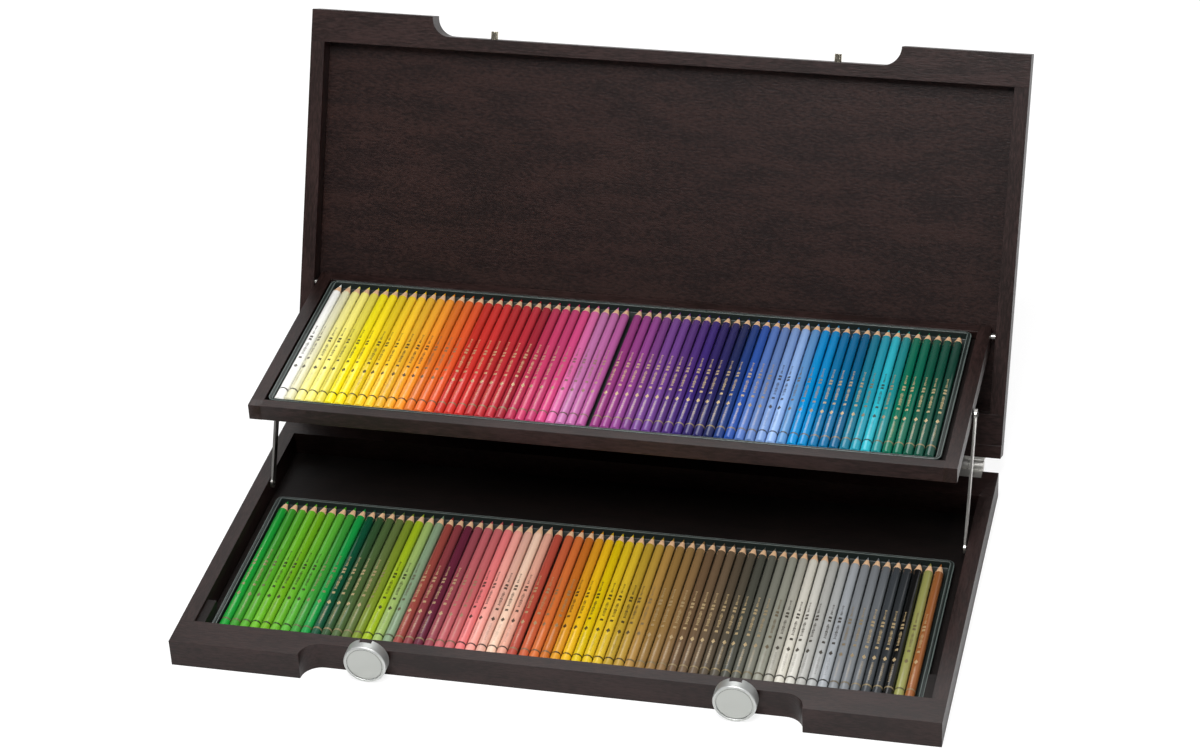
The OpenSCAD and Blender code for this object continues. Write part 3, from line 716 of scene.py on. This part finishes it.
def lay_row(name, node, shape, finish, slot, colours, pitch, gap_after, gap, seed):
    """One row of like shapes, a colour on each, as a plain mesh that replaces a CAD node.
    They lie a pitch apart, and those after the first gap_after are moved on by the gap."""
    lowest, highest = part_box(node.replace("cores", "pencils"))
    start_x = lowest.x / MM + PENCIL_R
    z = (lowest.z + highest.z) / 2
    points = [((start_x + i * pitch + (gap if i >= gap_after else 0)) * MM, lowest.y, z)
              for i in range(len(colours))]
    mesh = bpy.data.meshes.new(name + "_points")
    mesh.from_pydata(points, [], [])
    tint = mesh.attributes.new("lacquer", "FLOAT_COLOR", "POINT")
    for i, colour in enumerate(colours):
        tint.data[i].color = colour
    row = bpy.data.objects.new(name, mesh)
    bpy.context.scene.collection.objects.link(row)
    maker = row.modifiers.new("row", "NODES")
    maker.node_group = rows
    for label, value in (("Shape", shape), ("Finish", finish), ("Spin", SPIN),
                         ("Slip", SLIP), ("Seed", seed)):
        maker[socket_id[label]] = value
    bpy.context.view_layer.update()
    evaluated = row.evaluated_get(bpy.context.evaluated_depsgraph_get())
    made = bpy.data.meshes.new_from_object(evaluated)
    row.modifiers.remove(maker)
    row.data = made
    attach(row, frame["nodes"][node]["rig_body"])
    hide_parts(node)


# glossy nitro lacquer, with plain marks of gilt foil pressed on
FOIL_COVER = 0.92
FAINT_COVER = 0.4
material, tree, output = new_material("pencil_lacquer")
tint = add(tree, "ShaderNodeAttribute", {"attribute_name": "lacquer"})
wrap = add(tree, "ShaderNodeUVMap", {"uv_map": "around_along"})
split = add(tree, "ShaderNodeSeparateXYZ", links={0: wrap.outputs[0]})
# the place on the barrel in mm: along it from the blunt end, and round it from its top
along = add(tree, "ShaderNodeMath", {"operation": "MULTIPLY"}, {1: PENCIL_L},
            {0: split.outputs["Y"]})
centred = add(tree, "ShaderNodeMath", {"operation": "SUBTRACT"}, {1: 0.5},
              {0: split.outputs["X"]})
around = add(tree, "ShaderNodeMath", {"operation": "MULTIPLY"}, {1: 2 * math.pi * PENCIL_R},
             {0: centred.outputs[0]})


def band(source, centre, half, soft=0.12):
    """1 within half of centre, measured in mm, and 0 outside, with a soft edge."""
    off = add(tree, "ShaderNodeMath", {"operation": "SUBTRACT"}, {1: centre}, {0: source})
    far = add(tree, "ShaderNodeMath", {"operation": "ABSOLUTE"}, links={0: off.outputs[0]})
    edge = add(tree, "ShaderNodeMapRange", values={
        "From Min": half - soft, "From Max": half + soft, "To Min": 1.0, "To Max": 0.0},
        links={"Value": far.outputs[0]})
    return edge.outputs[0]


def both(a, b):
    """The part that two marks share."""
    return add(tree, "ShaderNodeMath", {"operation": "MULTIPLY"}, links={0: a, 1: b}).outputs[0]


def either(a, b):
    """Two marks together."""
    return add(tree, "ShaderNodeMath", {"operation": "MAXIMUM"}, links={0: a, 1: b}).outputs[0]


# the share of its step that a dash fills, and how low the lowest is beside the tallest
DASH_FILL = (0.35, 0.85)
DASH_LOWEST = 0.55


def dashes(start, end, step, height, seed):
    """A row of dashes from start to end along the barrel, one to a step. Chance makes each
    one long or short, and up to height tall on either side of the centre line."""
    paced = add(tree, "ShaderNodeMath", {"operation": "DIVIDE"}, {1: step},
                {0: along.outputs[0]})
    number = add(tree, "ShaderNodeMath", {"operation": "FLOOR"}, links={0: paced.outputs[0]})
    within = add(tree, "ShaderNodeMath", {"operation": "FRACT"}, links={0: paced.outputs[0]})
    keyed = add(tree, "ShaderNodeMath", {"operation": "ADD"}, {1: seed},
                {0: number.outputs[0]})
    chance = add(tree, "ShaderNodeTexWhiteNoise", {"noise_dimensions": "1D"},
                 links={"W": keyed.outputs[0]})
    fill = add(tree, "ShaderNodeMapRange",
               values={"To Min": DASH_FILL[0], "To Max": DASH_FILL[1]},
               links={"Value": chance.outputs["Value"]})
    inked = add(tree, "ShaderNodeMath", {"operation": "LESS_THAN"},
                links={0: within.outputs[0], 1: fill.outputs[0]})
    tall = add(tree, "ShaderNodeMapRange",
               values={"To Min": height * DASH_LOWEST, "To Max": height},
               links={"Value": chance.outputs["Value"]})
    off = add(tree, "ShaderNodeMath", {"operation": "ABSOLUTE"}, links={0: around.outputs[0]})
    low = add(tree, "ShaderNodeMath", {"operation": "LESS_THAN"},
              links={0: off.outputs[0], 1: tall.outputs[0]})
    middle, half = (start + end) / 2, (end - start) / 2
    return both(both(inked.outputs[0], low.outputs[0]), band(along.outputs[0], middle, half))


def lozenge(centre, half_length, half_width):
    """A long diamond on the barrel's centre line."""
    off = add(tree, "ShaderNodeMath", {"operation": "SUBTRACT"}, {1: centre},
              {0: along.outputs[0]})
    far = add(tree, "ShaderNodeMath", {"operation": "ABSOLUTE"}, links={0: off.outputs[0]})
    wide = add(tree, "ShaderNodeMath", {"operation": "ABSOLUTE"}, links={0: around.outputs[0]})
    scaled = add(tree, "ShaderNodeMath", {"operation": "MULTIPLY"},
                 {1: half_length / half_width}, {0: wide.outputs[0]})
    total = add(tree, "ShaderNodeMath", {"operation": "ADD"},
                links={0: far.outputs[0], 1: scaled.outputs[0]})
    return add(tree, "ShaderNodeMath", {"operation": "LESS_THAN"}, {1: half_length},
               {0: total.outputs[0]}).outputs[0]


def bar(centre, half_length, half_width):
    """A plain rectangle on the barrel's centre line."""
    return both(band(along.outputs[0], centre, half_length),
                band(around.outputs[0], 0.0, half_width))


# the marks, in mm from the blunt end on: a ring, a diamond, bars and dashes
ring = band(along.outputs[0], 13.0, 0.85, 0.08)
foil = either(ring, lozenge(45.5, 2.8, 1.6))
foil = either(foil, bar(57.8, 1.3, 1.2))
foil = either(foil, dashes(62.5, 80.5, 1.5, 1.3, 3.0))
foil = either(foil, bar(84.8, 1.3, 1.25))
foil = either(foil, bar(88.8, 1.3, 1.25))
foil = either(foil, dashes(92.5, 105.0, 1.0, 0.9, 23.0))
# between the ring and the diamond the dashes are fine, and the foil has hardly taken
fine = dashes(18.0, 40.0, 0.8, 1.0, 41.0)
faint = add(tree, "ShaderNodeMath", {"operation": "MULTIPLY"}, {1: FAINT_COVER}, {0: fine})
foil = either(foil, faint.outputs[0])
cover = add(tree, "ShaderNodeMath", {"operation": "MULTIPLY"}, {1: FOIL_COVER}, {0: foil})
paint = add(tree, "ShaderNodeBsdfPrincipled", values={"Roughness": 0.17, "IOR": 1.5},
            links={"Base Color": tint.outputs["Color"]})
# the foil is pale gold on colours that are deeper than the first of these lightnesses, and
# dark brown on those that are lighter than the second: a painted reflection of the dark lid and
# tray
PAINTED_REFLECTION_TURNS = (0.1, 0.28)
lightness = add(tree, "ShaderNodeRGBToBW", links={0: tint.outputs["Color"]})
depth = add(tree, "ShaderNodeMapRange",
            values={"From Min": PAINTED_REFLECTION_TURNS[0], "From Max": PAINTED_REFLECTION_TURNS[1]},
            links={"Value": lightness.outputs[0]})
# the gilt's colour, darkened on light lacquers as painted reflection
leaf_and_painted_reflection = add(tree, "ShaderNodeMixRGB", values={1: linear("#c4ab80"), 2: linear("#30261a")},
           links={0: depth.outputs[0]})
# the ring's leaf is browner and darker than the marks' leaf, its painted reflection deeper still
ring_leaf_and_painted_reflection = add(tree, "ShaderNodeMixRGB", values={1: linear("#8a7a5a"), 2: linear("#1c150e")},
                links={0: depth.outputs[0]})
leaf_and_painted_reflection = add(tree, "ShaderNodeMixRGB", links={
    0: ring, 1: leaf_and_painted_reflection.outputs[0], 2: ring_leaf_and_painted_reflection.outputs[0]})
gilt = add(tree, "ShaderNodeBsdfPrincipled", values={"Metallic": 0.4, "Roughness": 0.38},
           links={"Base Color": leaf_and_painted_reflection.outputs[0]})
pressed = add(tree, "ShaderNodeMixShader", links={
    0: cover.outputs[0], 1: paint.outputs[0], 2: gilt.outputs[0]})
tree.links.new(pressed.outputs[0], output.inputs[0])
lacquer = material

# bare cedar where the blade has cut the point: pale, matt, with fine streaks along it, of
# this length and width in mm
STREAK = (6.0, 0.5)
material, tree, output = new_material("cut_cedar")
place = add(tree, "ShaderNodeTexCoord")
streaks = add(tree, "ShaderNodeMapping",
              values={"Scale": (1 / STREAK[1], 1 / STREAK[0], 1 / STREAK[1])},
              links={0: place.outputs["Object"]})
grain = add(tree, "ShaderNodeTexNoise", values={"Scale": PER_MM, "Detail": 3.0},
            links={0: streaks.outputs[0]})
colour = add(tree, "ShaderNodeMixRGB", values={1: linear("#c99c76"), 2: linear("#e6c29a")},
             links={0: grain.outputs["Fac"]})
surface = add(tree, "ShaderNodeBsdfPrincipled", values={"Roughness": 0.62},
              links={"Base Color": colour.outputs[0]})
tree.links.new(surface.outputs[0], output.inputs[0])
cedar = material

# the bare colour core: waxy pigment, a little deeper than the lacquer
material, tree, output = new_material("pigment_core")
tint = add(tree, "ShaderNodeAttribute", {"attribute_name": "lacquer"})
deeper = add(tree, "ShaderNodeHueSaturation", values={"Saturation": 1.1, "Value": 0.85},
             links={"Color": tint.outputs["Color"]})
surface = add(tree, "ShaderNodeBsdfPrincipled", values={"Roughness": 0.48},
              links={"Base Color": deeper.outputs[0]})
tree.links.new(surface.outputs[0], output.inputs[0])
pigment = material

# how the pencils of each tin lie, in mm, and the seed of their random turns and slips
TIN_ROWS = {
    "lower": {"colours": shaded(LOWER_FAMILIES), "pitch": 8.12, "gap_after": 29, "gap": 0.9,
              "seed": 5},
    "upper": {"colours": shaded(UPPER_FAMILIES), "pitch": 8.08, "gap_after": 31, "gap": 2.7,
              "seed": 12},
}
for level, spacing in TIN_ROWS.items():
    for part, shape, finish, slot in (("pencils", barrel, lacquer, "lacquered_cedar"),
                                      ("pencils", cone, cedar, "lacquered_cedar"),
                                      ("cores", core, pigment, "colour_core")):
        lay_row(level + shape.name.replace("one", ""), level + "_" + part,
                shape, finish, slot, **spacing)
for master in (barrel, cone, core):
    bpy.data.objects.remove(master)
